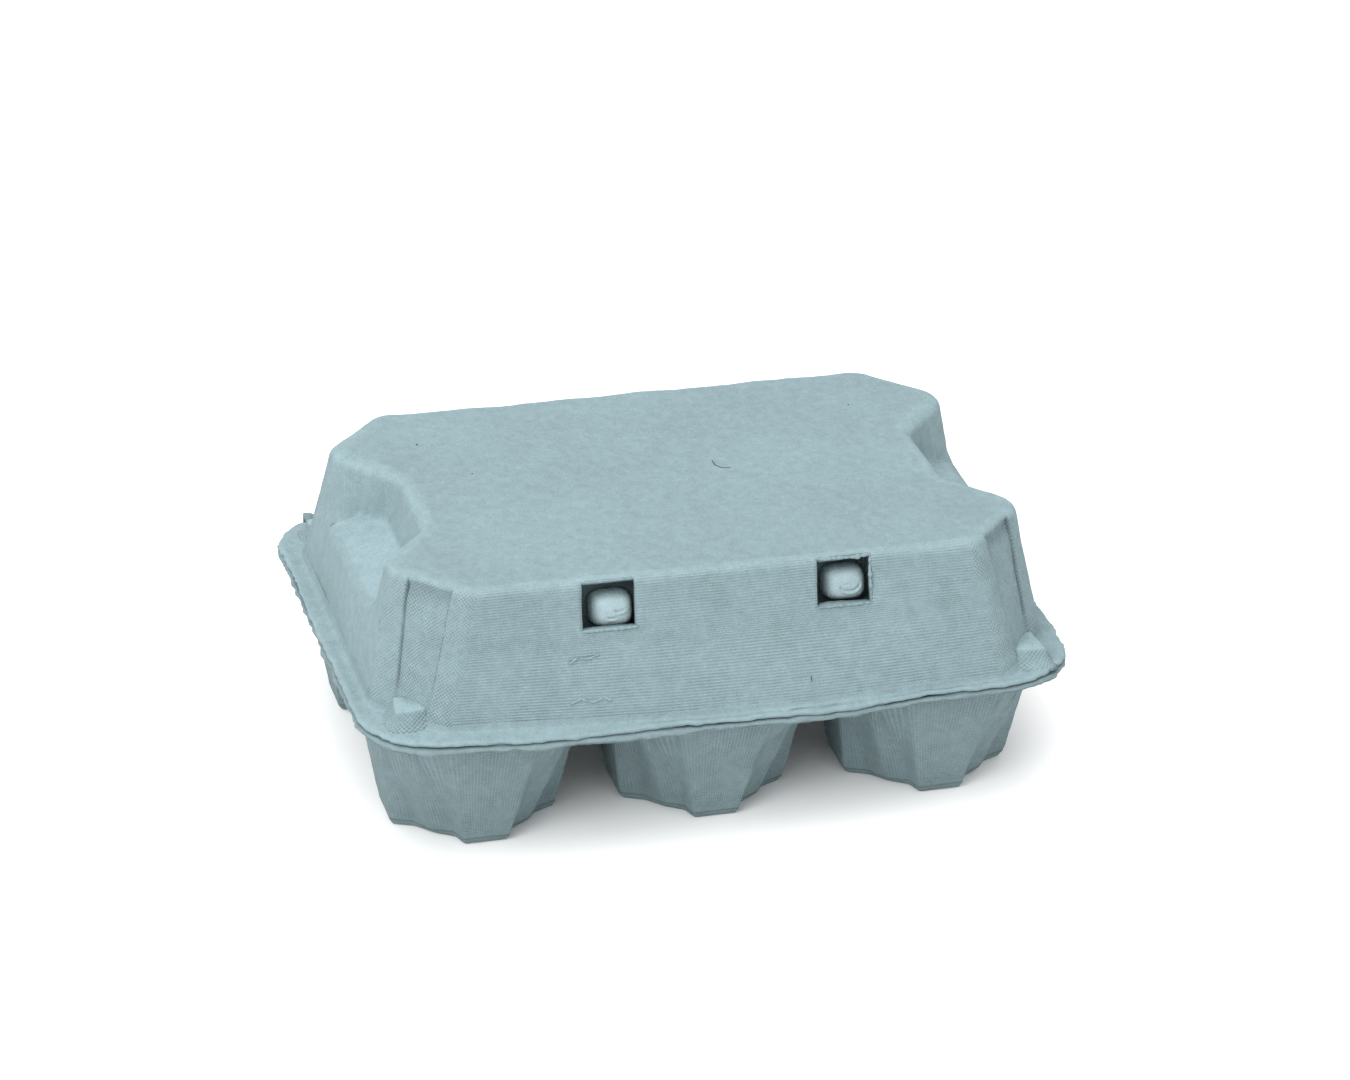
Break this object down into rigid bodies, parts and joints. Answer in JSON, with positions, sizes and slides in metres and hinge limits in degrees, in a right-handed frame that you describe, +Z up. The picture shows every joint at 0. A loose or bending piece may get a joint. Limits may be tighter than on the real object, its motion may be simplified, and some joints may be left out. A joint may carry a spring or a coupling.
{
  "type": "egg carton",
  "caption": "Moulded-pulp egg carton: a tray of fluted egg cups, a hinged lid with scooped ends and latch windows, and a sprung latch flap with buttons.",
  "frame": {"origin": "on the surface it stands on, under the middle of the closed carton", "axes": "+X along the length to the right, +Y to the rear where the lid is hinged, +Z up; the latch faces -Y"},
  "size_m": [0.154, 0.104, 0.06],
  "materials": {
    "tray_pulp": "matte moulded pulp",
    "lid_pulp": "matte moulded pulp",
    "latch_pulp": "matte moulded pulp"
  },
  "bodies": {
    "tray": {"tray_deck": "tray_pulp", "egg_cup_front_left": "tray_pulp", "egg_cup_front_middle": "tray_pulp", "egg_cup_front_right": "tray_pulp", "egg_cup_rear_left": "tray_pulp", "egg_cup_rear_middle": "tray_pulp", "egg_cup_rear_right": "tray_pulp", "support_post_left": "tray_pulp", "support_post_right": "tray_pulp", "lid_hinge_fold": "tray_pulp", "latch_fold_strip": "tray_pulp"},
    "lid": {"lid_shell": "lid_pulp", "lid_flange": "lid_pulp", "stacking_lug_front_left": "lid_pulp", "stacking_lug_front_right": "lid_pulp", "stacking_lug_rear_left": "lid_pulp", "stacking_lug_rear_right": "lid_pulp"},
    "latch_flap": {"latch_panel": "latch_pulp", "latch_hinge_bead": "latch_pulp", "latch_button_left": "latch_pulp", "latch_button_right": "latch_pulp"}
  },
  "joints": [
    {"name": "lid_hinge", "type": "hinge", "parent": "tray", "child": "lid", "pos_m": [0, 0.0509, 0.0304], "axis": [-1, 0, 0], "range_deg": [0, 180]},
    {"name": "latch_hinge", "type": "hinge", "parent": "tray", "child": "latch_flap", "pos_m": [0, -0.0431, 0.0314], "axis": [-1, 0, 0], "range_deg": [0, 12], "stiffness_Nm_per_rad": 0.05}
  ]
}
